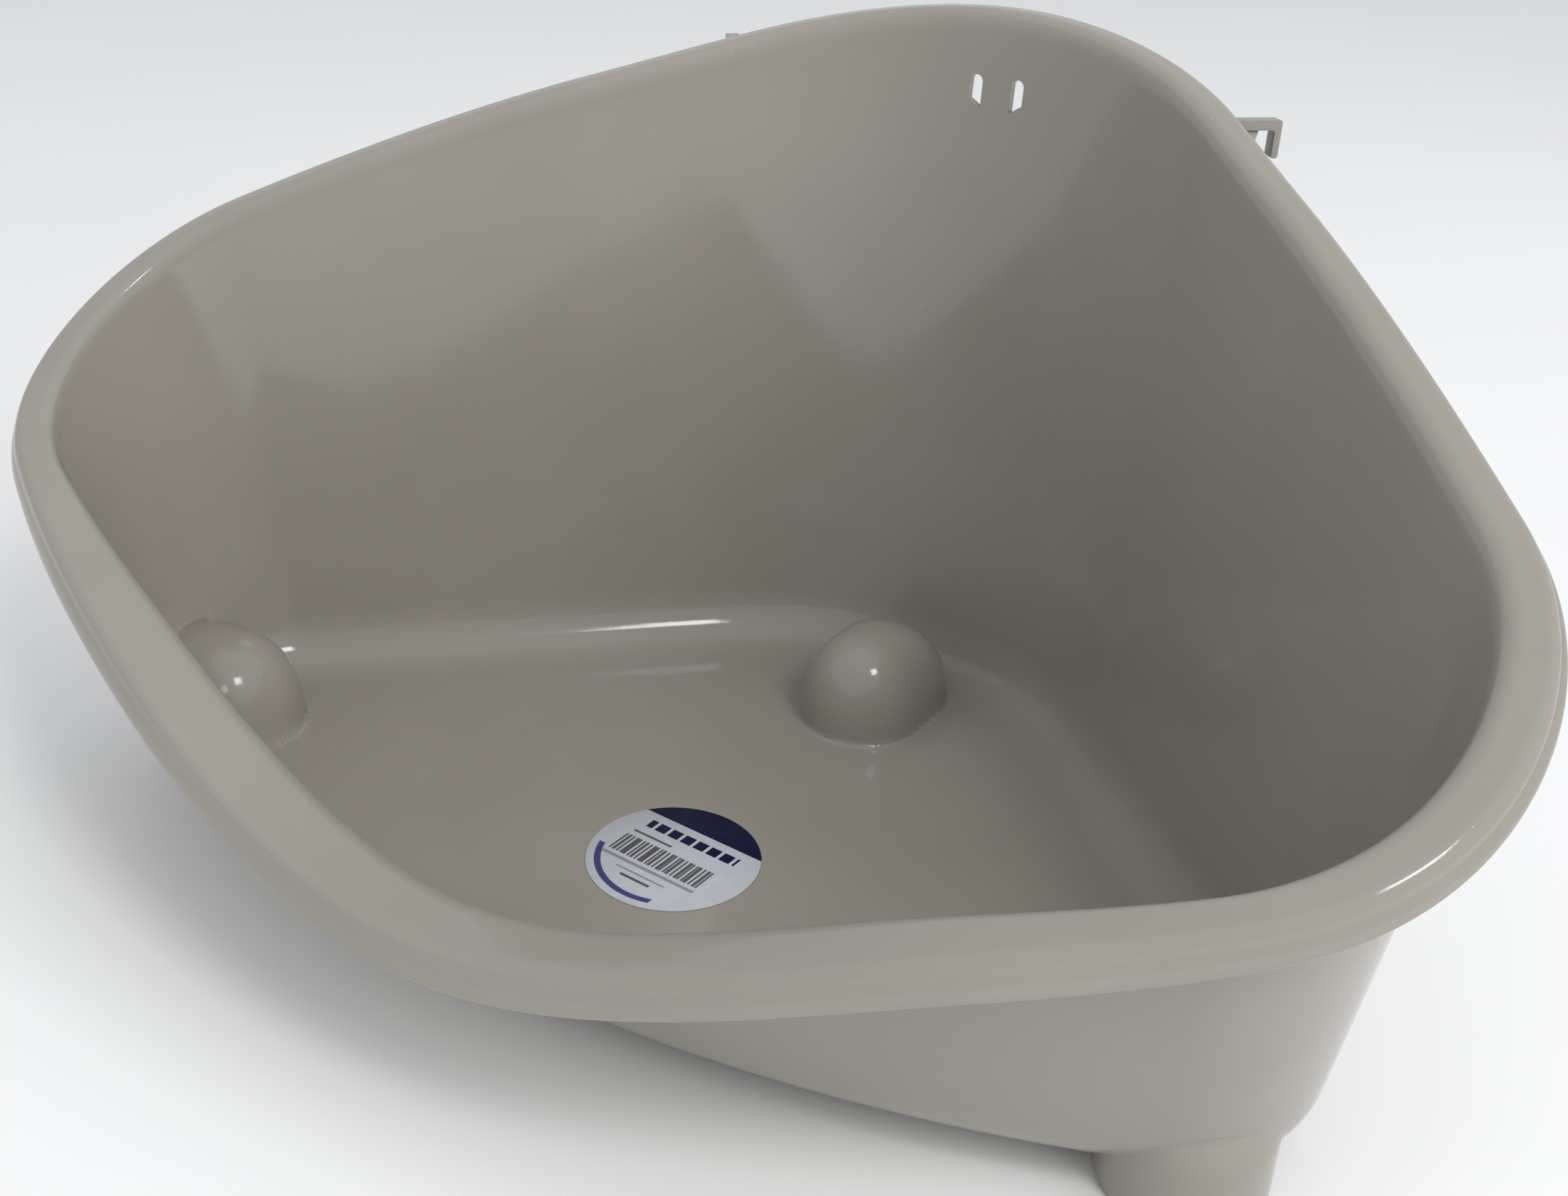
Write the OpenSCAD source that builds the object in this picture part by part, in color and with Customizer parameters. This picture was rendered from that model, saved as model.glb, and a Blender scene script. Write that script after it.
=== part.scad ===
// Corner litter tray: a one-piece moulded tub with a rolled rim, two plug-in wire hooks and a round label.
// Frame: X across the front, +Y towards the tall back corner, +Z up. All sizes in millimetres.

/* [Plan of the rim] */
// From the front lip to the sharp point where the two back walls would meet
apex_depth = 393; // [380:1:405]
// Radius of the bowed front side
front_radius = 420; // [400:5:460]
// Radius of the two side corners
side_corner_radius = 72; // [66:1:78]
// Radius of the tall back corner
back_corner_radius = 138; // [125:1:145]

/* [Rim line] */
// Height of the rim at the back corner
back_height = 260; // [245:1:275]
// Height of the rim where the back corner turns into the wall
wall_height = 230; // [222:1:236]
// Height of the rim at the end of the straight wall
wall_end_height = 187; // [180:1:194]
// Height of the rim at the side corner
side_height = 140; // [134:1:146]
// Height of the rim beside the front dip
shoulder_height = 111; // [106:1:116]
// Height of the front lip at its lowest point
lip_height = 67; // [60:1:74]

/* [Rim section] */
// Width of the rim band along the two back walls
wall_band = 16; // [15:0.5:18]
// Width of the rim band at the middle of the front
front_band = 30; // [26:1:33]
// Depth of the outer skirt along the back walls
wall_skirt = 7; // [6.5:0.5:9]
// Depth of the outer skirt along the front
front_skirt = 11; // [9:0.5:13]
// Radius of the rounded outer edge
crest_radius = 4; // [3:0.5:4.5]

/* [Shell] */
// Wall thickness
wall = 3; // [2.5:0.25:3.5]
// Thickness of the rim band and skirt
rim_wall = 2.5; // [2:0.25:3]
// Height of the floor's underside above the ground
floor_height = 8; // [6:0.5:10]
// Floor thickness
floor_wall = 3.5; // [3:0.25:4]
// Radius of the curve between floor and walls
floor_fillet = 22; // [16:1:26]

/* [Feet and domes] */
// Outer radius of each foot and of the dome above it
dome_radius = 24; // [22:0.5:26]
// Height of the dome above the floor
dome_height = 34; // [30:1:40]

/* [Slots] */
// Width of each slot
slot_width = 4.7; // [4:0.1:6]
// Length of each slot on its outer side
slot_length = 8.5; // [7:0.5:10]
// Distance between the two slots
slot_spacing = 16; // [14:0.5:20]
// Distance of the slots below the rim
slot_drop = 22; // [18:1:26]

/* [Hooks] */
// How far each hook stands out past the skirt
hook_reach = 13.4; // [12.5:0.1:16]
// Thickness of the hook's bar
hook_bar = 3.2; // [2.8:0.1:3.6]
// Thickness of the hook's leg
hook_leg = 2.4; // [2.2:0.1:3]
// Length of the hook's leg, bar included
hook_drop = 12; // [10:0.5:16]
// Width of the hook
hook_width = 4.8; // [4:0.2:6]
// Position of the hooks along the back walls, from the sharp back point
hook_along = 134.5; // [125:0.5:145]

/* [Label] */
// Diameter of the round label
label_diameter = 58; // [50:1:64]
// Thickness of the label
label_thickness = 0.4; // [0.3:0.1:0.6]

/* [Hidden] */

tub_color = [0.62, 0.60, 0.57];
hook_color = [0.56, 0.55, 0.52];
label_color = [0.85, 0.86, 0.87];
root2 = sqrt(2);
clearance = 0.3;

// Floor outline, where the outer wall and the underside would meet without the fillet
floor_apex = apex_depth - 35;
floor_front = 54;
floor_radius = front_radius + 23;
floor_side_radius = side_corner_radius - 31;
floor_back_radius = back_corner_radius - 15;
floor_top = floor_height + floor_wall;

// Inner edge of the rim band
band_apex = apex_depth - root2 * wall_band;
band_radius = 572;
band_side_radius = side_corner_radius - 13;
band_back_radius = back_corner_radius - wall_band;

// Domes: two at the side corners, one at the back corner
side_dome = [184, 111];
back_dome = [0, 251];
dome_places = [[side_dome[0], side_dome[1]], [-side_dome[0], side_dome[1]], back_dome];
foot_round = 1.2;

label_place = [-3.6, 135];

// Depth of the tray's outline, used to centre it on the origin
back_edge = apex_depth - (root2 - 1) * back_corner_radius;
centre_y = back_edge / 2;

// Stations along half of the outline: back corner, wall, side corner, front
n_back = 9;
n_wall = 9;
n_side = 12;
n_front = 12;

function arc(c, r, a0, a1, n) =
    [for (i = [0:n]) let (a = a0 + (a1 - a0) * i / n) c + r * [cos(a), sin(a)]];
function tail(v) = [for (i = [1:len(v) - 1]) v[i]];

// Centre of the circle that touches both a back wall and the front bow
function side_centre(apex, bow, r) =
    let (s = apex - root2 * r, x = ((s - bow) + sqrt(2 * pow(bow - r, 2) - pow(s - bow, 2))) / 2)
    [x, s - x];

// Right half of an outline from the back corner round to the front
function half_outline(apex, front, bow, side_r, back_r) =
    let (
        a = apex - front,
        c = side_centre(a, bow, side_r),
        turn = atan2(c[1] - bow, c[0]),
        back = arc([0, a - root2 * back_r], back_r, 90, 45, n_back),
        side = arc(c, side_r, 45, turn, n_side),
        p = back[n_back],
        q = side[0],
        straight = [for (i = [1:n_wall - 1]) p + (q - p) * i / n_wall],
        bowed = arc([0, bow], bow, turn, -90, n_front)
    )
    [for (v = concat(back, straight, side, tail(bowed))) v + [0, front]];

// Whole outline, clockwise seen from above
function mirrored(h) = concat(h, [for (i = [len(h) - 2:-1:1]) [-h[i][0], h[i][1]]]);
function outline(apex, front, bow, side_r, back_r) =
    mirrored(half_outline(apex, front, bow, side_r, back_r));

skirt_line = outline(apex_depth, 0, front_radius, side_corner_radius, back_corner_radius);
band_line = outline(band_apex, front_band, band_radius, band_side_radius, band_back_radius);
count = len(skirt_line);
half = count / 2;

// Outline of the floor, moved inwards by e
function floor_line(e) =
    outline(floor_apex - root2 * e, floor_front + e, floor_radius - e,
            floor_side_radius - e, floor_back_radius - e);

// Share of the way from the back (0) to the front (1) at each station
steps = [for (i = [0:half - 1]) norm(skirt_line[i + 1] - skirt_line[i])];
function sum_to(v, n) = n <= 0 ? 0 : v[n - 1] + sum_to(v, n - 1);
half_length = sum_to(steps, half);
share = [for (i = [0:count - 1]) sum_to(steps, i <= half ? i : count - i) / half_length];

// Smooth curve through the named rim heights
rim_knots = [0, 0.25, 0.45, 0.6, 0.75, 1];
rim_heights = [back_height, wall_height, wall_end_height, side_height, shoulder_height, lip_height];
last = len(rim_knots) - 1;
function slope_at(i) = i == 0 || i == last ? 0
    : (rim_heights[i + 1] - rim_heights[i - 1]) / (rim_knots[i + 1] - rim_knots[i - 1]);
function span_of(u, i = 0) = i >= last - 1 || u <= rim_knots[i + 1] ? i : span_of(u, i + 1);
function rim_height(u) =
    let (i = span_of(u), w = rim_knots[i + 1] - rim_knots[i], t = (u - rim_knots[i]) / w)
    rim_heights[i] * (2 * pow(t, 3) - 3 * t * t + 1) + slope_at(i) * w * (pow(t, 3) - 2 * t * t + t)
    + rim_heights[i + 1] * (3 * t * t - 2 * pow(t, 3)) + slope_at(i + 1) * w * (pow(t, 3) - t * t);
function ramp(u) = let (t = min(max((u - 0.45) / 0.3, 0), 1)) t * t * (3 - 2 * t);

// Rim section: a point d inwards from the skirt line and z above the rim line
function rim_point(j, d, z) =
    let (p = skirt_line[j], q = band_line[j], w = norm(q - p), v = p + (q - p) * d / w)
    [v[0], v[1], rim_height(share[j]) + z];
function band(j) = norm(band_line[j] - skirt_line[j]);
function skirt(j) = wall_skirt + (front_skirt - wall_skirt) * ramp(share[j]);
function edge_radius(j) = 0.36 * band(j);
skirt_flare = 2;

// Rows of the rim: under the band, over the rounded outer crest, and down into the inner wall
under_row = [for (j = [0:count - 1]) rim_point(j, band(j) - wall, -rim_wall)];
function crest_row(a) =
    [for (j = [0:count - 1])
        rim_point(j, skirt_flare + crest_radius * (1 - cos(a)), -crest_radius * (1 - sin(a)))];
function edge_row(a) =
    [for (j = [0:count - 1])
        let (r = edge_radius(j)) rim_point(j, band(j) - r * (1 - sin(a)), -r * (1 - cos(a)))];

// Walls and the curve into the floor, for the outside (e = 0) and the inside (e = wall)
function blend(a, b, t) = a + (b - a) * t;
function flat_row(line, z) = [for (p = line) [p[0], p[1], z]];
function curve_row(foot, corner, top, reach, t) =
    [for (j = [0:count - 1])
        let (
            up = corner[j] + (top[j] - corner[j]) * reach / norm(top[j] - corner[j]),
            m = blend(foot[j], corner[j], t),
            n = blend(corner[j], up, t)
        )
        blend(m, n, t)];
function wall_row(corner, top, reach, t) =
    [for (j = [0:count - 1])
        let (k = reach / norm(top[j] - corner[j])) blend(corner[j], top[j], k + (1 - k) * t)];

outer_foot = flat_row(floor_line(floor_fillet), floor_height);
outer_corner = flat_row(floor_line(0), floor_height);
outer_top = under_row;
inner_reach = floor_fillet - 1;
inner_foot = flat_row(floor_line(wall + inner_reach), floor_top);
inner_corner = flat_row(floor_line(wall), floor_top);
inner_top = edge_row(90);

tub_rows = concat(
    [for (i = [0:4]) curve_row(outer_foot, outer_corner, outer_top, floor_fillet, i / 4)],
    [for (i = [1:4]) wall_row(outer_corner, outer_top, floor_fillet, i / 4)],
    [[for (j = [0:count - 1]) rim_point(j, skirt_flare + rim_wall + 1, -rim_wall)]],
    [[for (j = [0:count - 1]) rim_point(j, rim_wall, -skirt(j))]],
    [[for (j = [0:count - 1]) rim_point(j, 0, -skirt(j))]],
    [for (i = [0:4]) crest_row(i * 22.5)],
    [for (i = [0:4]) edge_row(i * 22.5)],
    [for (i = [3:-1:1]) wall_row(inner_corner, inner_top, inner_reach, i / 4)],
    [for (i = [5:-1:0]) curve_row(inner_foot, inner_corner, inner_top, inner_reach, i / 5)]
);

// One closed skin through all the rows, with flat caps on the underside and on the floor
module shell() {
    rows = len(tub_rows);
    points = [for (r = tub_rows) for (p = r) p];
    sides = [for (i = [0:rows - 2]) for (j = [0:count - 1])
        let (k = (j + 1) % count, a = i * count + j, b = i * count + k, c = b + count, d = a + count)
        each [[a, b, c], [a, c, d]]];
    bottom = [for (j = [count - 1:-1:0]) j];
    top = [for (j = [0:count - 1]) (rows - 1) * count + j];
    polyhedron(points, concat(sides, [bottom, top]), convexity = 8);
}

// A dome with straight lower sides, grown by g and reaching down to z = 0
module dome_solid(g) {
    r = dome_radius + g;
    straight = floor_top + dome_height - dome_radius;
    rotate_extrude($fn = 72)
        polygon(concat(
            [[0, 0], [r - (g == 0 ? foot_round : 0), 0]],
            g == 0 ? arc([r - foot_round, foot_round], foot_round, -90, 0, 4) : [[r, 0]],
            [for (a = [0:7.5:82.5]) [r * cos(a), straight + r * sin(a)]],
            [[0, straight + r]]
        ));
}

// Slot outline: round above, cut off at a slant below; the slant falls towards the middle of the tray
slot_slant = 3;
module slot(side) {
    r = slot_width / 2;
    z = back_height - slot_drop;
    translate([side * slot_spacing / 2, back_edge + 1, 0])
        rotate([90, 0, 0])
            linear_extrude(40)
                polygon(concat(
                    arc([0, z - r], r, 0, 180, 12),
                    side > 0 ? [[-r, z - slot_length - slot_slant], [r, z - slot_length]]
                             : [[-r, z - slot_length], [r, z - slot_length - slot_slant]]
                ));
}

// Places its children on a back wall: x outwards from the skirt line, y along the wall, z up
hook_station = [hook_along / root2, apex_depth - hook_along / root2];
module on_wall(side) {
    mirror([side > 0 ? 0 : 1, 0, 0])
        translate([hook_station[0], hook_station[1], 0])
            rotate([0, 0, 45])
                children();
}

// The bars lie just under the rim band
hook_share = (back_corner_radius * PI / 4 + hook_along - back_corner_radius) / half_length;
bar_top = rim_height(hook_share) - rim_wall - 0.4;
bar_bottom = bar_top - hook_bar;
shank = 11.5;
cheek = 2.4;
gusset = 2.4;
gusset_reach = 6.2;
socket_bottom = bar_bottom - 2.8;

module socket_block() {
    low = bar_top - 1.5;
    high = bar_top + 1.3;
    rotate([90, 0, 0])
        linear_extrude(hook_width + 2 * (clearance + cheek), center = true)
            polygon([
                [-14.4, socket_bottom], [-3, socket_bottom], [-3, low], [-3.8, high],
                [-13, high], [-14.4, low]
            ]);
}

module gusset_plate() {
    top = bar_bottom - clearance;
    rotate([90, 0, 0])
        linear_extrude(gusset, center = true)
            polygon([
                [-14.8, top], [gusset_reach, top], [gusset_reach - 0.6, top - 2.5], [5, top - 6],
                [2.3, top - 11], [-2.5, top - 17], [-9, top - 23], [-15.8, top - 28]
            ]);
}

module socket_hole() {
    translate([-shank - clearance, -hook_width / 2 - clearance, bar_bottom - clearance])
        cube([shank + 8, hook_width + 2 * clearance, hook_bar + 2 * clearance]);
}

module tub() {
    color(tub_color)
        translate([0, -centre_y, 0])
            difference() {
                union() {
                    shell();
                    for (p = dome_places) translate([p[0], p[1], 0]) dome_solid(0);
                    for (side = [-1, 1]) on_wall(side) {
                        socket_block();
                        gusset_plate();
                    }
                }
                for (p = dome_places) translate([p[0], p[1], -1]) dome_solid(-wall);
                for (side = [-1, 1]) {
                    slot(side);
                    on_wall(side) socket_hole();
                }
            }
}

// Hook outline in its own plane, with eased corners
module hook_shape() {
    r = 0.9;
    x = hook_reach;
    leg = x - hook_leg;
    low = bar_top - hook_drop;
    rotate([90, 0, 0])
        linear_extrude(hook_width, center = true)
            polygon(concat(
                [[-shank, bar_bottom], [-shank, bar_top]],
                arc([x - r, bar_top - r], r, 90, 0, 4),
                arc([x - r, low + r], r, 0, -90, 4),
                arc([leg + r, low + r], r, -90, -180, 4),
                arc([leg - 0.8, bar_bottom - 0.8], 0.8, 0, 90, 3)
            ));
}

module hook_right() {
    color(hook_color) translate([0, -centre_y, 0]) on_wall(1) hook_shape();
}

module hook_left() {
    color(hook_color) translate([0, -centre_y, 0]) on_wall(-1) hook_shape();
}

module label() {
    color(label_color)
        translate([label_place[0], label_place[1] - centre_y, floor_top])
            cylinder(h = label_thickness, d = label_diameter, $fn = 96);
}

tub();
hook_left();
hook_right();
label();
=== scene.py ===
import math

import bmesh
import bpy
import numpy as np
from mathutils import Matrix, Vector
from mathutils.bvhtree import BVHTree


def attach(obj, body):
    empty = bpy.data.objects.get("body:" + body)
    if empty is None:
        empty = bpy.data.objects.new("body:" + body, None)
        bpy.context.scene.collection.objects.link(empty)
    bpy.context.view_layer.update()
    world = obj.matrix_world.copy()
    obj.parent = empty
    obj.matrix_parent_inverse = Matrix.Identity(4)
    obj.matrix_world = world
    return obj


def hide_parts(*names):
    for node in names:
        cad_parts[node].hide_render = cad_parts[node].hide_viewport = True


# Looks of the corner litter tray. Shapes are worked out in millimetres, in part.scad's own frame
# (front lip at y = 0), and moved to the row frame when they become meshes.
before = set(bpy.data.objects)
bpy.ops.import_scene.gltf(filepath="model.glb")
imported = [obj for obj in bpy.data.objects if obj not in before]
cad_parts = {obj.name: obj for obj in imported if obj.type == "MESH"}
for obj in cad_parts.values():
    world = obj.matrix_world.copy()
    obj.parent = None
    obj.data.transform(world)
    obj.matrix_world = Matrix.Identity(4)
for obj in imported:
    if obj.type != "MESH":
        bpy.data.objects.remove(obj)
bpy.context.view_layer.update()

# ---------------------------------------------------------------- sizes, as in part.scad
ROOT2 = math.sqrt(2)
APEX, FRONT_R, SIDE_R, BACK_R = 393.0, 420.0, 72.0, 138.0
RIM_KNOTS = (0, 0.25, 0.45, 0.6, 0.75, 1)
RIM_HEIGHTS = (260, 230, 187, 140, 111, 67)
WALL_BAND, FRONT_BAND, BAND_R = 16.0, 30.0, 572.0
WALL_SKIRT, FRONT_SKIRT, FLARE, CREST_R = 7.0, 11.0, 2.0, 4.0
WALL, RIM_WALL = 3.0, 2.5
FLOOR_Z, FLOOR_TOP, FILLET = 8.0, 11.5, 22.0
DOME_R, DOME_H, TAIL = 24.0, 34.0, 19.0
DOMES = ((184.0, 111.0), (-184.0, 111.0), (0.0, 251.0))
FLANKS = (25.2, 25.2, 23.0)  # radius of each dome where it leaves the floor
TOWARDS = ((1, 0), (-1, 0), (0, 1))  # each dome runs out into its own corner
MARKS = ((150.0, 115.0), (-150.0, 115.0), (1.0, 211.0))  # faint round moulding marks on the floor
SLOT_W, SLOT_L, SLOT_GAP, SLOT_DROP, SLOT_SLANT = 4.7, 8.5, 16.0, 22.0, 3.0
REACH, BAR, LEG, DROP, HOOK_W, ALONG, SHANK = 13.4, 3.2, 2.4, 12.0, 4.8, 134.5, 11.5
LABEL_R, LABEL_T, LABEL_AT, LABEL_TURN = 29.0, 0.4, (-3.6, 135.0), -3.0
BACK_EDGE = APEX - (ROOT2 - 1) * BACK_R
CENTRE_Y = BACK_EDGE / 2
HALF_WIDTH = 245.06  # the rim's reach to each side, a hair inside the CAD box
EDGE_SHARE = 0.36  # radius of the rim's inner edge as a share of the band
SKIRT_FROM, SKIRT_OVER = 0.45, 0.3  # where along the rim the skirt deepens
CLEAR, CHEEK, GUSSET, HOOK_ROUND, PLATE_ROUND = 0.3, 2.4, 2.4, 0.9, 0.4
FOOT_ROUND, CORE_GAP, DOME_POWER = 1.2, 0.4, 2.35
MARK_RELIEF, MARK_R, MARK_WIDTH = 0.14, 6.5, 1.5

# Raising the domes: how far out and in how many directions, the sampling steps, the length over which
# dome and floor are blended, in samples, and the height above which the surface is left alone
DOME_OUT, DIRECTIONS, RAY_STEP, SAMPLE, BLEND, MEAN, ABOVE = 56.0, 180, 0.4, 0.2, 26.0, 11, 125

# Stations along half of the outline: back corner, wall, side corner, front
N_BACK, N_WALL, N_SIDE, N_FRONT = 36, 36, 60, 60


# ---------------------------------------------------------------- outlines
def arc(c, r, a0, a1, n):
    a = np.radians(np.linspace(a0, a1, n + 1))
    return np.array(c) + r * np.stack([np.cos(a), np.sin(a)], 1)


def outline(apex, front, bow, side_r, back_r):
    """A right-angled triangle with round corners and a bowed front, clockwise from the back."""
    a = apex - front
    s = a - ROOT2 * side_r
    x = ((s - bow) + math.sqrt(2 * (bow - side_r) ** 2 - (s - bow) ** 2)) / 2
    c = np.array([x, s - x])
    turn = math.degrees(math.atan2(c[1] - bow, c[0]))
    back = arc((0, a - ROOT2 * back_r), back_r, 90, 45, N_BACK)
    side = arc(c, side_r, 45, turn, N_SIDE)
    t = np.arange(1, N_WALL)[:, None] / N_WALL
    straight = back[-1] + (side[0] - back[-1]) * t
    bowed = arc((0, bow), bow, turn, -90, N_FRONT)[1:]
    h = np.concatenate([back, straight, side, bowed]) + (0, front)
    return np.concatenate([h, h[-2:0:-1] * (-1, 1)])


def floor_line(e):
    return outline(APEX - 35 - ROOT2 * e, 54 + e, FRONT_R + 23 - e, SIDE_R - 31 - e, BACK_R - 15 - e)


skirt_line = outline(APEX, 0, FRONT_R, SIDE_R, BACK_R)
band_line = outline(APEX - ROOT2 * WALL_BAND, FRONT_BAND, BAND_R, SIDE_R - 13, BACK_R - WALL_BAND)
COUNT = len(skirt_line)
HALF = COUNT // 2
steps = np.linalg.norm(np.diff(skirt_line[:HALF + 1], axis=0), axis=1)
along = np.concatenate([[0], np.cumsum(steps)])
half_length = along[-1]
share = np.concatenate([along, along[-2:0:-1]]) / half_length


def rim_height(u):
    """Smooth curve through the rim's named heights; u is 0 at the back and 1 at the front lip."""
    k, h = np.array(RIM_KNOTS, float), np.array(RIM_HEIGHTS, float)
    slope = np.zeros(len(k))
    slope[1:-1] = (h[2:] - h[:-2]) / (k[2:] - k[:-2])
    i = np.clip(np.searchsorted(k, u) - 1, 0, len(k) - 2)
    w = k[i + 1] - k[i]
    t = (u - k[i]) / w
    return (h[i] * (2 * t**3 - 3 * t * t + 1) + slope[i] * w * (t**3 - 2 * t * t + t)
            + h[i + 1] * (3 * t * t - 2 * t**3) + slope[i + 1] * w * (t**3 - t * t))


rim_z = rim_height(share)
ramp = np.clip((share - SKIRT_FROM) / SKIRT_OVER, 0, 1)
ramp = ramp * ramp * (3 - 2 * ramp)
skirt_depth = WALL_SKIRT + (FRONT_SKIRT - WALL_SKIRT) * ramp
inward = band_line - skirt_line
band = np.linalg.norm(inward, axis=1)
inward = inward / band[:, None]
edge_r = EDGE_SHARE * band


def rim_row(d, z):
    """A row of points d inwards from the skirt line and z above the rim line."""
    return np.column_stack([skirt_line + inward * np.broadcast_to(d, COUNT)[:, None], rim_z + z])


def flat_row(line, z):
    return np.column_stack([line, np.full(COUNT, z)])


def fillet_row(foot, corner, top, reach, t):
    """The curve from the floor (t = 0) into the wall (t = 1)."""
    up = top - corner
    up = corner + up * reach / np.linalg.norm(up, axis=1)[:, None]
    m, n = foot + (corner - foot) * t, corner + (up - corner) * t
    return m + (n - m) * t


def wall_rows(corner, top, reach, down):
    """Rows of the wall at the distances down below its top, then in even steps to the fillet."""
    up = top - corner
    length = np.linalg.norm(up, axis=1)[:, None]
    unit = up / length
    near = [top - unit * d for d in down]
    last, foot = near[-1], corner + unit * reach
    return near + [last + (foot - last) * t for t in np.linspace(0, 1, 15)[1:-1]]


def smoothed(rows, first, last, passes):
    """Rounds the joint between two surfaces by easing each row towards its neighbours."""
    rows = [r.copy() for r in rows]
    for _ in range(passes):
        old = [r.copy() for r in rows]
        for k in range(first, last):
            rows[k] = 0.25 * old[k - 1] + 0.5 * old[k] + 0.25 * old[k + 1]
    return rows


# ---------------------------------------------------------------- inner surface with its domes
def inner_rows():
    """Rows from the crest over the rim band and down the inner wall to the floor's edge."""
    rows = [rim_row(FLARE + CREST_R * (1 - math.cos(a)), -CREST_R * (1 - math.sin(a)))
            for a in np.radians(np.linspace(0, 90, 11))]
    start, end = FLARE + CREST_R, band - edge_r
    rows += [rim_row(start + (end - start) * t, 0) for t in (0.25, 0.5, 0.75)]
    n_edge = 14
    rows += [rim_row(band - edge_r * (1 - math.sin(a)), -edge_r * (1 - math.cos(a)))
             for a in np.radians(np.linspace(0, 90, n_edge + 1))]
    kink = len(rows) - 1
    reach = FILLET - 1
    foot, corner = flat_row(floor_line(WALL + reach), FLOOR_TOP), flat_row(floor_line(WALL), FLOOR_TOP)
    rows += wall_rows(corner, rows[-1], reach, (0.8, 1.6, 2.4, 3.2, 4.2, 5.4, 7, 9))
    rows += [fillet_row(foot, corner, rows[kink], reach, t) for t in np.linspace(1, 0, 19)]
    return smoothed(rows, kink - 5, kink + 7, 14), kink


def floor_rings(edge):
    """Rings from the floor's edge towards its middle, close together where the domes stand."""
    middle = np.array([0.0, 165.0, FLOOR_TOP])
    shares = np.concatenate([np.linspace(0, 0.64, 70)[1:], np.linspace(0.64, 1, 12)[1:-1]])
    return [edge + (middle - edge) * t for t in shares], middle


def loft(rows, middle=None):
    """Points and faces of a skin through rows of equal length, closed at the end by a fan if asked."""
    points = np.concatenate(rows + ([middle[None]] if middle is not None else []))
    faces = []
    for i in range(len(rows) - 1):
        a, b = i * COUNT, (i + 1) * COUNT
        faces += [(a + j, a + (j + 1) % COUNT, b + (j + 1) % COUNT, b + j) for j in range(COUNT)]
    if middle is not None:
        a = (len(rows) - 1) * COUNT
        faces += [(a + j, a + (j + 1) % COUNT, len(points) - 1) for j in range(COUNT)]
    return points, faces


def resampled(line, step):
    """The same line as points at an even spacing."""
    s = np.concatenate([[0], np.cumsum(np.linalg.norm(np.diff(line, axis=0), axis=1))])
    q = np.linspace(0, s[-1], max(int(s[-1] / step), 2))
    return np.column_stack([np.interp(q, s, line[:, k]) for k in range(2)])


def dome_curve(reach, n):
    """From the dome's top down to the floor: rounder than a circle at the shoulder."""
    a = np.radians(np.linspace(90, 0, n))
    power = 2 / DOME_POWER
    return np.column_stack([reach * np.cos(a) ** power, FLOOR_TOP + DOME_H * np.sin(a) ** power])


def dome_profile(turn, r):
    """Half section of a dome as (radius, height), from its top to below the floor. turn is the angle from
    the way to its corner, where the dome is drawn out by TAIL."""
    side, ahead = abs(math.sin(turn)), math.cos(turn)
    if ahead <= 0:
        reach = r
    elif r * ahead <= TAIL * side:
        reach = r / side
    else:
        reach = TAIL * ahead + math.sqrt(r * r - (TAIL * side) ** 2)
    return resampled(np.concatenate([dome_curve(reach, 70), [[reach + 0.3, 0.0]]]), SAMPLE)


def eased(line, meet):
    """Rounds a section about the sample where its two parts meet, with a running mean."""
    blend = np.clip(1 - np.abs(np.arange(len(line)) - meet) / BLEND, 0, 1)[:, None]
    blend = blend * blend * (3 - 2 * blend)
    padded = np.pad(line, ((MEAN, MEAN), (0, 0)), "edge")
    total = np.cumsum(np.concatenate([[[0, 0]], padded]), axis=0)
    mean = (total[2 * MEAN + 1:] - total[:-2 * MEAN - 1]) / (2 * MEAN + 1)
    return line * (1 - blend) + mean * blend


def dome_section(tree, centre, angle, heading, flank):
    """The surface's section along one direction from a dome's axis, without the dome and with it."""
    u = np.array([math.cos(angle), math.sin(angle)])
    line = []
    for r in np.arange(0, DOME_OUT + 0.1, RAY_STEP):
        x, y = centre + u * r
        hit = tree.ray_cast(Vector((x, y, 400)), Vector((0, 0, -1)))[0]
        if hit is None or hit.z > ABOVE:
            break
        line.append((r, hit.z))
    ground, dome = resampled(np.array(line), SAMPLE), dome_profile(angle - heading, flank)
    meet = int(np.argmax(dome[:, 1] < np.interp(dome[:, 0], ground[:, 0], ground[:, 1])))
    onward = int(np.argmin(np.abs(ground - dome[meet]).sum(axis=1)))
    limit = int(DOME_OUT / SAMPLE)
    joined = np.concatenate([dome[:meet], ground[onward:limit + 1]])
    return ground[:limit + 1], eased(joined, meet)


def slid(ground, section, r, z):
    """Where a point at radius r and height z on the ground's section goes on the section with the dome."""
    m = int(np.argmin(np.hypot(ground[:, 0] - r, ground[:, 1] - z)))
    if m >= len(ground) - 1:
        return None
    t = ground[m + 1] - ground[m]
    at = m + float(np.dot((r - ground[m, 0], z - ground[m, 1]), t) / np.dot(t, t))
    from_edge = 1 - min(max(at / (len(ground) - 1), 0), 1)
    scale = (len(section) - 1) / (len(ground) - 1)
    place = (len(section) - 1) - (len(ground) - 1) * (from_edge + (scale - 1) * from_edge**2)
    place = min(max(place, 0), len(section) - 1)
    return np.array([np.interp(place, np.arange(len(section)), section[:, n]) for n in range(2)])


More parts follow.
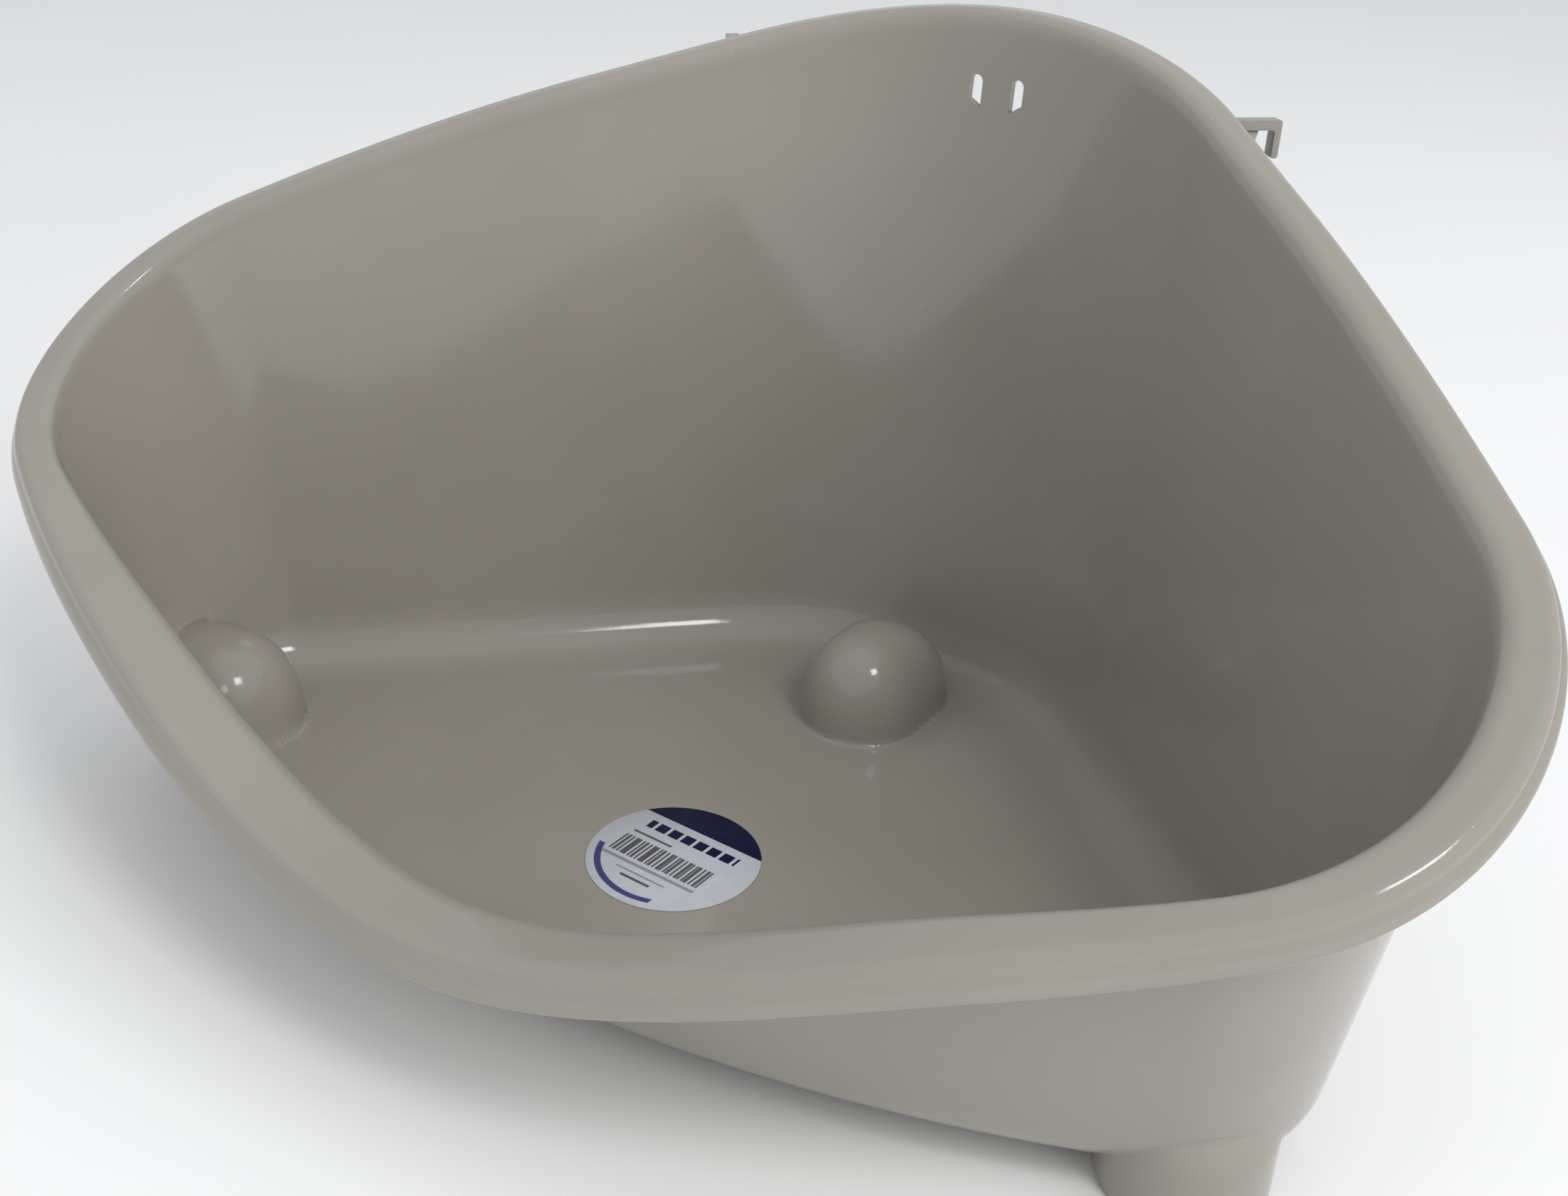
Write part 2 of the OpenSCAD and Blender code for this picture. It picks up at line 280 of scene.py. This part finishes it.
def raise_domes(points, tree):
    """Lifts the inner surface over each dome. Along every direction from a dome's axis the surface's
    section is replaced by the dome's section joined to it by a fillet, and points slide along it."""
    for centre, corner, flank in zip(DOMES, TOWARDS, FLANKS):
        c = np.array(centre)
        heading = math.atan2(corner[1], corner[0])
        sections = [dome_section(tree, c, 2 * math.pi * k / DIRECTIONS, heading, flank)
                    for k in range(DIRECTIONS)]
        d = points[:, :2] - c
        near = (np.hypot(d[:, 0], d[:, 1]) < DOME_OUT + 2) & (points[:, 2] < ABOVE)
        for i in np.nonzero(near)[0]:
            r = math.hypot(*d[i])
            turn = (math.atan2(d[i][1], d[i][0]) / (2 * math.pi)) % 1 * DIRECTIONS
            k = int(turn)
            first = slid(*sections[k % DIRECTIONS], r, points[i, 2])
            second = slid(*sections[(k + 1) % DIRECTIONS], r, points[i, 2])
            if first is None or second is None:
                continue
            w = turn - k
            out, up = (1 - w) * first + w * second
            points[i, :2] = c + d[i] / max(r, 1e-9) * out
            points[i, 2] = up


def tub_skin():
    """Points and faces of the whole shell, from the underside over the rim to the floor and its domes."""
    inner, kink = inner_rows()
    rings, middle = floor_rings(inner[-1])
    points, faces = loft(inner + rings, middle)
    part = slice(kink * COUNT, None)
    tree = BVHTree.FromPolygons(
        [tuple(p) for p in points[part]],
        [tuple(v - kink * COUNT for v in f) for f in faces if min(f) >= kink * COUNT])
    raise_domes(points, tree)
    for mark in MARKS:
        d = np.linalg.norm(points[:, :2] - mark, axis=1)
        flat = np.abs(points[:, 2] - FLOOR_TOP) < 0.05
        points[:, 2] += flat * MARK_RELIEF * np.exp(-((d - MARK_R) / MARK_WIDTH) ** 2)

    foot, corner = flat_row(floor_line(FILLET), FLOOR_Z), flat_row(floor_line(0), FLOOR_Z)
    top = rim_row(band - WALL, -RIM_WALL)
    outer = [fillet_row(foot, corner, top, FILLET, t) for t in np.linspace(0, 1, 15)]
    outer += wall_rows(corner, top, FILLET, (0.6, 1.4, 2.4, 3.6, 5.5, 8))[::-1]
    outer += [top]
    bend = len(outer) - 1
    a, b = band - WALL, FLARE + RIM_WALL + 1
    outer += [rim_row(a + (b - a) * t, -RIM_WALL) for t in (0.08, 0.2, 0.35, 0.6, 0.85, 1)]
    outer += [rim_row(RIM_WALL + 1.2, -RIM_WALL - 0.9), rim_row(RIM_WALL + 0.4, -RIM_WALL - 2.2)]
    lip = RIM_WALL / 2
    outer += [rim_row(lip + lip * math.cos(t), lip - skirt_depth - lip * math.sin(t))
              for t in np.radians(np.linspace(0, 180, 9))]
    outer += [rim_row(FLARE * s * s, -skirt_depth + lip + (skirt_depth - lip - CREST_R) * s)
              for s in (0.3, 0.6, 0.85)]
    outer = smoothed(outer, bend - 4, bend + 4, 6)
    shell, shell_faces = loft(outer + [points[:COUNT]])
    shell = shell[:-COUNT]
    shift = len(shell)
    faces = shell_faces + [tuple(v + shift for v in f) for f in faces]
    faces.append(tuple(range(COUNT - 1, -1, -1)))
    points = np.concatenate([shell, points])
    points[:, 0] = np.clip(points[:, 0], -HALF_WIDTH, HALF_WIDTH)
    return points, faces


# ---------------------------------------------------------------- meshes
def mesh_object(name, points, faces):
    """A mesh object in the row frame, in metres."""
    mesh = bpy.data.meshes.new(name)
    moved = (np.array(points) - (0, CENTRE_Y, 0)) / 1000
    mesh.from_pydata([tuple(p) for p in moved], [], faces)
    mesh.update()
    obj = bpy.data.objects.new(name, mesh)
    bpy.context.scene.collection.objects.link(obj)
    bm = bmesh.new()
    bm.from_mesh(mesh)
    bmesh.ops.recalc_face_normals(bm, faces=bm.faces)
    bm.to_mesh(mesh)
    bm.free()
    return obj


def revolved(name, section, centre, n=96):
    """A closed solid of revolution; the section runs from the axis below to the axis above."""
    points, faces = [], []
    for k in range(n):
        a = 2 * math.pi * k / n
        points += [(centre[0] + r * math.cos(a), centre[1] + r * math.sin(a), z) for r, z in section[1:-1]]
    m = len(section) - 2
    low, high = n * m, n * m + 1
    points += [(*centre, section[0][1]), (*centre, section[-1][1])]
    for k in range(n):
        a, b = k * m, (k + 1) % n * m
        faces += [(a + i, b + i, b + i + 1, a + i + 1) for i in range(m - 1)]
        faces += [(low, b, a), (high, a + m - 1, b + m - 1)]
    return mesh_object(name, points, faces)


def prism(name, section, width, bevel, place):
    """A plate with rounded edges: its section is (outwards, up) and its width runs along the wall."""
    bm = bmesh.new()
    low = [bm.verts.new((x, -width / 2, z)) for x, z in section]
    face = bm.faces.new(low)
    out = bmesh.ops.extrude_face_region(bm, geom=[face])["geom"]
    bmesh.ops.translate(bm, verts=[v for v in out if isinstance(v, bmesh.types.BMVert)], vec=(0, width, 0))
    bmesh.ops.recalc_face_normals(bm, faces=bm.faces)
    if bevel:
        edges = [e for e in bm.edges if e.calc_face_angle(0) > math.radians(28)]
        bmesh.ops.bevel(bm, geom=edges, offset=bevel, segments=3, profile=0.5, affect="EDGES",
                        clamp_overlap=True)
    bm.verts.index_update()
    points = [place(v.co) for v in bm.verts]
    faces = [tuple(v.index for v in f.verts) for f in bm.faces]
    bm.free()
    return mesh_object(name, points, faces)


def on_wall(side):
    """Placement on a back wall: x outwards from the skirt line, y along the wall."""
    x0, y0 = ALONG / ROOT2, APEX - ALONG / ROOT2

    def place(v):
        x, y = x0 + (v[0] - v[1]) / ROOT2, y0 + (v[0] + v[1]) / ROOT2
        return (side * x, y, v[2])
    return place


def combined(target, tools, operation):
    """Joins tools to the target or cuts them out of it."""
    for tool in tools:
        m = target.modifiers.new(tool.name, "BOOLEAN")
        m.operation, m.object, m.solver = operation, tool, "EXACT"
    graph = bpy.context.evaluated_depsgraph_get()
    result = bpy.data.meshes.new_from_object(target.evaluated_get(graph))
    target.modifiers.clear()
    target.data = result
    for tool in tools:
        bpy.data.objects.remove(tool)


def shade(obj, angle):
    obj.data.polygons.foreach_set("use_smooth", [True] * len(obj.data.polygons))
    obj.data.set_sharp_from_angle(angle=math.radians(angle))


# ---------------------------------------------------------------- hook and socket sizes
hook_share = (BACK_R * math.pi / 4 + ALONG - BACK_R) / half_length
BAR_TOP = float(rim_height(np.array([hook_share]))[0]) - RIM_WALL - 0.4
BAR_LOW = BAR_TOP - BAR


def corner_arc(x, z, r, a0, a1, n=5):
    return [(x + r * math.cos(a), z + r * math.sin(a)) for a in np.radians(np.linspace(a0, a1, n))]


def hook_section():
    leg, low, r = REACH - LEG, BAR_TOP - DROP, HOOK_ROUND
    return ([(-SHANK, BAR_LOW), (-SHANK, BAR_TOP)]
            + corner_arc(REACH - r, BAR_TOP - r, r, 90, 0)
            + corner_arc(REACH - r, low + r, r, 0, -90)
            + corner_arc(leg + r, low + r, r, -90, -180)
            + corner_arc(leg - 0.8, BAR_LOW - 0.8, 0.8, 0, 90, 4))


def gusset_section():
    top = BAR_LOW - CLEAR
    return [(-14.8, top), (6.2, top), (5.6, top - 2.5), (5.0, top - 6), (3.8, top - 8.6), (2.3, top - 11),
            (-2.5, top - 17), (-9, top - 23), (-15.8, top - 28)]


def socket_section():
    low, high = BAR_TOP - 1.5, BAR_TOP + 1.3
    return [(-14.4, BAR_LOW - 2.8), (-3, BAR_LOW - 2.8), (-3, low), (-3.8, high), (-13, high), (-14.4, low)]


def hole_section():
    x0, x1, z0, z1 = -SHANK - CLEAR, 8, BAR_LOW - CLEAR, BAR_TOP + CLEAR
    return [(x0, z0), (x1, z0), (x1, z1), (x0, z1)]


def slot_tool(side):
    r, z = SLOT_W / 2, RIM_HEIGHTS[0] - SLOT_DROP
    long, short = z - SLOT_L - SLOT_SLANT, z - SLOT_L
    low = [(-r, long), (r, short)] if side > 0 else [(-r, short), (r, long)]
    section = corner_arc(0, z - r, r, 0, 180, 17) + low
    place = lambda v: (side * SLOT_GAP / 2 + v[0], BACK_EDGE + 1 - 20 + v[1], v[2])
    return prism(f"slot_{side}", section, 40, 0, place)


# ---------------------------------------------------------------- the tub
def foot_section(flank):
    """The foot and the dome's core, a little inside the dome's own surface."""
    core = dome_curve(flank - CORE_GAP, 30)[::-1]
    core[:, 0] = np.minimum(core[:, 0], DOME_R)
    sole = DOME_R - FOOT_ROUND
    return ([(0, 0), (sole, 0)] + corner_arc(sole, FOOT_ROUND, FOOT_ROUND, -90, 0)[1:]
            + [(DOME_R, FLOOR_Z - 2)] + [(x, z - CORE_GAP) for x, z in core[1:-1]]
            + [(0, FLOOR_TOP + DOME_H - CORE_GAP)])


def hollow_section(flank):
    """The hollow under a dome, with an eased edge round its mouth."""
    r, z = min(DOME_R - WALL, flank - 2.4), FLOOR_TOP + DOME_H - DOME_R
    mouth = [(0, -2), (r + 0.7, -2), (r + 0.7, 0), (r + 0.25, 0.25), (r, 0.8)]
    return mouth + corner_arc(0, z, r, 0, 88, 24) + [(0, z + r)]


def build_tub():
    tub = mesh_object("tray_tub", *tub_skin())
    joined = [revolved(f"foot_{n}", foot_section(f), c) for n, (c, f) in enumerate(zip(DOMES, FLANKS))]
    width = HOOK_W + 2 * (CLEAR + CHEEK)
    for side in (-1, 1):
        place = on_wall(side)
        joined.append(prism(f"socket_{side}", socket_section(), width, PLATE_ROUND, place))
        joined.append(prism(f"gusset_{side}", gusset_section(), GUSSET, PLATE_ROUND, place))
    combined(tub, joined, "UNION")
    cut = [revolved(f"hollow_{n}", hollow_section(f), c) for n, (c, f) in enumerate(zip(DOMES, FLANKS))]
    cut += [slot_tool(side) for side in (-1, 1)]
    cut += [prism(f"hole_{side}", hole_section(), HOOK_W + 2 * CLEAR, 0, on_wall(side)) for side in (-1, 1)]
    combined(tub, cut, "DIFFERENCE")
    shade(tub, 34)
    return tub


tub = build_tub()
hook_right = prism("wire_hook_right", hook_section(), HOOK_W, PLATE_ROUND, on_wall(1))
hook_left = prism("wire_hook_left", hook_section(), HOOK_W, PLATE_ROUND, on_wall(-1))
for hook in (hook_right, hook_left):
    shade(hook, 50)
label_top, ease = FLOOR_TOP + LABEL_T, 0.12
disc = [(0, FLOOR_TOP), (LABEL_R - 0.1, FLOOR_TOP), (LABEL_R, FLOOR_TOP + 0.1), (LABEL_R, label_top - ease),
        (LABEL_R - ease, label_top), (0, label_top)]
label = revolved("floor_label", disc, LABEL_AT, 160)
shade(label, 50)


# ---------------------------------------------------------------- materials
class Nodes:
    """Short names for making a material's nodes."""

    def __init__(self, name):
        self.material = bpy.data.materials.new(name)
        self.material.use_nodes = True
        self.tree = self.material.node_tree
        self.shader = self.tree.nodes["Principled BSDF"]

    def add(self, kind, **settings):
        node = self.tree.nodes.new("ShaderNode" + kind)
        for key, value in settings.items():
            setattr(node, key, value)
        return node

    def link(self, out, into):
        self.tree.links.new(out, into)

    def value(self, socket, v):
        if isinstance(v, bpy.types.NodeSocket):
            self.link(v, socket)
        else:
            socket.default_value = v

    def math(self, op, a, b=0.0, c=0.0):
        node = self.add("Math", operation=op)
        for socket, v in zip(node.inputs, (a, b, c)):
            self.value(socket, v)
        return node.outputs[0]

    def place(self, scale=(1, 1, 1), rotation=(0, 0, 0), location=(0, 0, 0)):
        node = self.add("Mapping")
        self.link(self.add("TexCoord").outputs["Object"], node.inputs["Vector"])
        node.inputs["Scale"].default_value = scale
        node.inputs["Rotation"].default_value = rotation
        node.inputs["Location"].default_value = location
        return node.outputs["Vector"]

    def noise(self, where, scale, detail=2.0, rough=0.5):
        node = self.add("TexNoise")
        self.link(where, node.inputs["Vector"])
        node.inputs["Scale"].default_value = scale
        node.inputs["Detail"].default_value = detail
        node.inputs["Roughness"].default_value = rough
        return node.outputs["Fac"]

    def spread(self, value, lo, hi, out_lo, out_hi):
        node = self.add("MapRange", clamp=True)
        for socket, v in zip(node.inputs, (value, lo, hi, out_lo, out_hi)):
            self.value(socket, v)
        return node.outputs["Result"]

    def mix(self, factor, a, b):
        node = self.add("Mix", data_type="RGBA")
        self.value(node.inputs[0], factor)
        self.value(node.inputs[6], a)
        self.value(node.inputs[7], b)
        return node.outputs[2]

    def bump(self, height, strength, distance, below=None):
        node = self.add("Bump")
        self.link(height, node.inputs["Height"])
        node.inputs["Strength"].default_value = strength
        node.inputs["Distance"].default_value = distance
        if below is not None:
            self.link(below, node.inputs["Normal"])
        return node.outputs["Normal"]


def moulded_plastic(name, dark, light, rough):
    """Glossy moulded plastic: soft tone changes, fine orange peel, hairline scratches and a little dust."""
    n = Nodes(name)
    where = n.place()
    cloud = n.noise(where, 9.0, 3.0)
    tone = n.mix(n.spread(cloud, 0.35, 0.65, 0, 1), (*dark, 1), (*light, 1))
    speck = n.add("TexVoronoi", feature="F1")
    n.link(where, speck.inputs["Vector"])
    speck.inputs["Scale"].default_value = 26.0
    rare = n.spread(n.noise(where, 33.0, 0.0), 0.70, 0.72, 0, 1)
    dust = n.math("MULTIPLY", n.spread(speck.outputs["Distance"], 0.015, 0.022, 1, 0), rare)
    tone = n.mix(n.math("MULTIPLY", dust, 0.7), tone, (0.05, 0.045, 0.04, 1))
    n.link(tone, n.shader.inputs["Base Color"])
    scratch_at = n.place(scale=(1.5, 60.0, 9.0), rotation=(0.5, 0.35, 0.9))
    scratch = n.spread(n.noise(scratch_at, 16.0, 1.0), 0.73, 0.76, 0, 1)
    scuff = n.spread(n.noise(where, 55.0, 4.0, 0.6), 0.4, 0.75, 0, 0.07)
    gloss = n.math("ADD", n.math("ADD", scuff, rough), n.math("MULTIPLY", scratch, 0.12))
    n.link(gloss, n.shader.inputs["Roughness"])
    peel = n.bump(n.noise(where, 420.0, 2.0), 0.10, 0.0002)
    waves = n.bump(n.noise(where, 28.0, 1.0), 0.12, 0.0006, peel)
    lines = n.bump(scratch, 0.12, 0.0002, waves)
    n.link(lines, n.shader.inputs["Normal"])
    n.shader.inputs["IOR"].default_value = 1.49
    return n.material


def printed_film(name):
    """White printed film. The print is a plain dark segment, bars and stripes: nothing that can be read."""
    n = Nodes(name)
    x, y = LABEL_AT
    turn = math.radians(LABEL_TURN)
    cos, sin = math.cos(-turn), math.sin(-turn)
    lx, ly = x / 1000, (y - CENTRE_Y) / 1000
    where = n.place(rotation=(0, 0, -turn), location=(-(lx * cos - ly * sin), -(lx * sin + ly * cos), 0))
    split = n.add("SeparateXYZ")
    n.link(where, split.inputs[0])
    u, v = n.math("MULTIPLY", split.outputs[0], 1000), n.math("MULTIPLY", split.outputs[1], 1000)

    def inside(value, lo, hi):
        above = n.spread(value, lo - 0.1, lo + 0.1, 0, 1)
        below = n.spread(value, hi - 0.1, hi + 0.1, 1, 0)
        return n.math("MULTIPLY", above, below)

    def box(u0, u1, v0, v1):
        return n.math("MULTIPLY", inside(u, u0, u1), inside(v, v0, v1))

    def stripes(period, fill, shift=0.0):
        return n.math("LESS_THAN", n.math("MODULO", n.math("ADD", u, 100 + shift), period), fill * period)

    def over(below, mask, colour):
        return n.mix(mask, below, (*colour, 1))

    navy, ink, pale = (0.004, 0.005, 0.040), (0.09, 0.09, 0.10), (0.24, 0.25, 0.30)
    fibre = n.spread(n.noise(where, 300.0, 3.0), 0.3, 0.7, 0, 1)
    paper = n.mix(fibre, (0.47, 0.49, 0.53, 1), (0.51, 0.53, 0.57, 1))
    paper = over(paper, inside(v, 16.0, 40), navy)
    paper = over(paper, n.math("MULTIPLY", box(-18.5, 18.5, 8.0, 12.4), stripes(5.4, 0.78, 1.2)), navy)
    paper = over(paper, box(-20, -4, 3.4, 4.4), ink)
    bars = n.math("MAXIMUM", stripes(1.5, 0.5), stripes(3.7, 0.3, 0.6))
    paper = over(paper, n.math("MULTIPLY", box(-21, 17, -9.0, 1.0), bars), ink)
    paper = over(paper, box(-21, 17, -12.0, -10.6), pale)
    paper = over(paper, box(-12, 8, -15.4, -14.6), pale)
    paper = over(paper, box(-8, 4, -18.4, -17.2), ink)
    ring = n.math("SQRT", n.math("ADD", n.math("MULTIPLY", u, u), n.math("MULTIPLY", v, v)))
    foot = n.math("MULTIPLY", inside(ring, 24.0, 26.2), inside(v, -40, -8))
    paper = over(paper, n.math("MULTIPLY", foot, n.spread(u, 9, 9.2, 1, 0)), (0.05, 0.055, 0.17))
    n.link(paper, n.shader.inputs["Base Color"])
    n.link(n.spread(n.noise(where, 120.0, 2.0), 0.3, 0.7, 0.30, 0.42), n.shader.inputs["Roughness"])
    n.link(n.bump(n.noise(where, 500.0, 2.0), 0.12, 0.0001), n.shader.inputs["Normal"])
    n.shader.inputs["Specular IOR Level"].default_value = 0.18
    return n.material


tub_plastic = moulded_plastic("tub_plastic_look", (0.272, 0.254, 0.216), (0.296, 0.277, 0.238), 0.085)
hook_plastic = moulded_plastic("hook_plastic_look", (0.235, 0.222, 0.190), (0.258, 0.245, 0.212), 0.20)
label_film = printed_film("label_film_look")

for piece, material, slot, node, body in (
        (tub, tub_plastic, "tub_plastic", "tub", "tray"),
        (hook_right, hook_plastic, "hook_plastic", "hook_right", "hook_r"),
        (hook_left, hook_plastic, "hook_plastic", "hook_left", "hook_l"),
        (label, label_film, "label_film", "label", "tray")):
    piece.data.materials.clear()
    piece.data.materials.append(material)
    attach(piece, body)
    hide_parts(node)


# ---------------------------------------------------------------- stage, light and camera
def stage_floor():
    mesh = bpy.data.meshes.new("stage_floor")
    mesh.from_pydata([(-6, -6, 0), (6, -6, 0), (6, 6, 0), (-6, 6, 0)], [], [(0, 1, 2, 3)])
    obj = bpy.data.objects.new("stage_floor", mesh)
    bpy.context.scene.collection.objects.link(obj)
    n = Nodes("stage_pale")
    cloud = n.spread(n.noise(n.place(), 3.0, 2.0), 0.3, 0.7, 0, 1)
    tone = n.mix(cloud, (0.86, 0.86, 0.86, 1), (0.88, 0.88, 0.88, 1))
    n.link(tone, n.shader.inputs["Base Color"])
    n.shader.inputs["Roughness"].default_value = 0.8
    obj.data.materials.append(n.material)


def softbox(name, place, aim, width, height, power, shows=True):
    light = bpy.data.lights.new(name, "AREA")
    light.shape, light.size, light.size_y, light.energy = "RECTANGLE", width, height, power
    obj = bpy.data.objects.new(name, light)
    obj.location = place
    obj.rotation_euler = (Vector(aim) - Vector(place)).to_track_quat("-Z", "Y").to_euler()
    obj.visible_glossy = shows
    bpy.context.scene.collection.objects.link(obj)


def camera(place, azimuth, elevation, roll, lens):
    """Azimuth 0 looks along +Y; the elevation is how far the camera looks down."""
    a, e, r = map(math.radians, (azimuth, elevation, roll))
    forward = Vector((-math.sin(a) * math.cos(e), math.cos(a) * math.cos(e), -math.sin(e)))
    level = Vector((math.cos(a), math.sin(a), 0))
    up = level.cross(forward)
    right = level * math.cos(r) + up * math.sin(r)
    up = right.cross(forward)
    data = bpy.data.cameras.new("camera")
    data.lens, data.sensor_width = lens, 36.0
    data.clip_start, data.clip_end = 0.01, 50
    obj = bpy.data.objects.new("camera", data)
    turn = Matrix((right, up, -forward)).transposed()
    obj.matrix_world = Matrix.Translation(place) @ turn.to_4x4()
    bpy.context.scene.collection.objects.link(obj)
    bpy.context.scene.camera = obj


stage_floor()
softbox("window", (1.25, -0.6, 1.75), (0, 0, 0.1), 0.45, 0.42, 9)
softbox("side", (2.15, -0.35, 1.5), (0, 0, 0.1), 1.8, 1.5, 31, False)
softbox("left", (-1.2, -1.6, 1.3), (0, 0, 0.2), 1.2, 1.0, 4, False)
softbox("top", (0.3, 0.3, 2.8), (0, 0, 0.1), 2.4, 2.4, 9, False)
world = bpy.data.worlds.new("studio")
world.use_nodes = True
world.node_tree.nodes["Background"].inputs["Color"].default_value = (0.95, 0.97, 1.0, 1)
world.node_tree.nodes["Background"].inputs["Strength"].default_value = 0.68
bpy.context.scene.world = world
bpy.context.scene.view_settings.view_transform = "Standard"
camera((0.27358, -0.42524, 0.35664), 31.37, 27.26, 2.64, 40.66)
